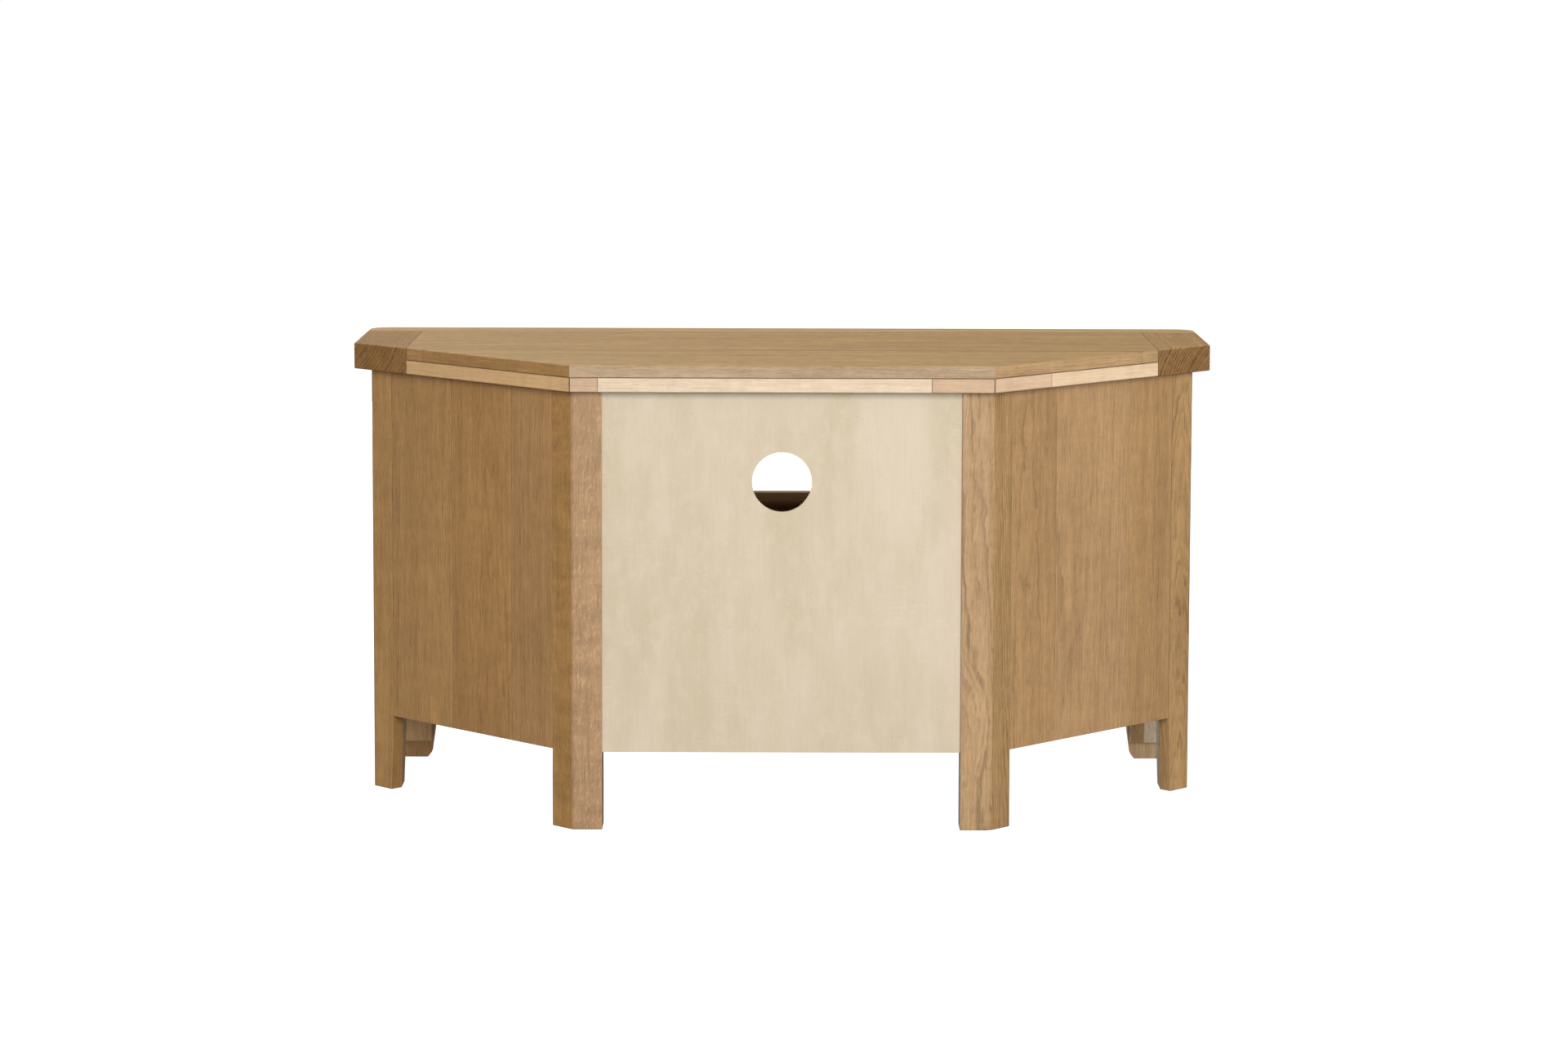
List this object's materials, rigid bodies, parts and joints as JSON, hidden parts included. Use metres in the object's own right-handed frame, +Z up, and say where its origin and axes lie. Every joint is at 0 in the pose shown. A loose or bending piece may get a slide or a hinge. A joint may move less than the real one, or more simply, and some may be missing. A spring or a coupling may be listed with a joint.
{
  "type": "corner media cabinet",
  "caption": "Low oak corner cabinet for a television, with cut-back rear corners, an open bay over a cupboard with hinged doors, and a back panel with a cable hole.",
  "frame": {"origin": "on the floor, under the middle of the top's outline", "axes": "+Z up, X across the width with +X on the right as seen from the doors, doors face -Y, back panel faces +Y"},
  "size_m": [1.05, 0.495, 0.55],
  "materials": {
    "oak": "satin oiled oak",
    "oak_top": "satin oiled oak, grain across the width",
    "oak_dark": "satin oiled oak, dark end grain",
    "oak_pink": "satin oiled oak, pinkish",
    "oak_pale": "satin oiled oak, pale sapwood",
    "birch_plywood": "unfinished pale plywood",
    "hidden_wood": "planed, unfinished",
    "brass": "brushed",
    "zinc_steel": "zinc plated",
    "catch_plastic": "matt brown"
  },
  "bodies": {
    "case": {"back_panel": "birch_plywood", "bottom_panel": "oak", "cleat_screws": "zinc_steel", "frame_hinge_leaves": "brass", "frame_hinge_screws": "brass", "front_bottom_rail": "oak", "front_glue_blocks": "oak", "front_shelf_rail": "oak", "front_top_rail": "oak", "hinge_pins": "brass", "left_front_leg": "oak", "left_outer_leg": "oak", "left_panel_stave_1": "oak", "left_panel_stave_2": "oak", "left_panel_stave_3": "oak", "left_rear_leg": "oak_pink", "left_side_panel": "oak", "left_strip_front": "oak_pale", "left_strip_rear": "oak_pink", "magnetic_catch": "catch_plastic", "pale_glue_block": "oak_pale", "panel_dowels": "hidden_wood", "rear_strip_ends": "oak_pink", "rear_strip_middle": "oak_pale", "rear_top_rail": "oak", "right_front_leg": "oak", "right_outer_leg": "oak", "right_panel_stave_1": "oak", "right_panel_stave_2": "oak", "right_panel_stave_3": "oak", "right_rear_leg": "oak_pink", "right_side_panel": "oak", "right_strip": "oak", "shelf": "oak", "support_cleats": "hidden_wood", "top_cleats": "hidden_wood", "top_front_board": "oak_top", "top_left_end_board": "oak_dark", "top_middle_board": "oak_top", "top_rear_board": "oak_top", "top_right_end_board": "oak_dark", "top_screws": "zinc_steel"},
    "right_door": {"right_door_bottom_rail": "oak", "right_door_hinge_leaves": "brass", "right_door_hinge_screws": "brass", "right_door_knob": "oak", "right_door_meeting_stile": "oak", "right_door_outer_stile": "oak", "right_door_panel": "oak", "right_door_strike": "zinc_steel", "right_door_top_rail": "oak"},
    "left_door": {"left_door_bottom_rail": "oak", "left_door_hinge_leaves": "brass", "left_door_hinge_screws": "brass", "left_door_knob": "oak", "left_door_meeting_stile": "oak", "left_door_outer_stile": "oak", "left_door_panel": "oak", "left_door_strike": "zinc_steel", "left_door_top_rail": "oak"}
  },
  "joints": [
    {"name": "right_door_hinge", "type": "hinge", "parent": "case", "child": "right_door", "pos_m": [0.43525, -0.2308, 0.2175], "axis": [0, 0, 1], "range_deg": [0, 105]},
    {"name": "left_door_hinge", "type": "hinge", "parent": "case", "child": "left_door", "pos_m": [-0.43525, -0.2308, 0.2175], "axis": [0, 0, -1], "range_deg": [0, 105]}
  ]
}
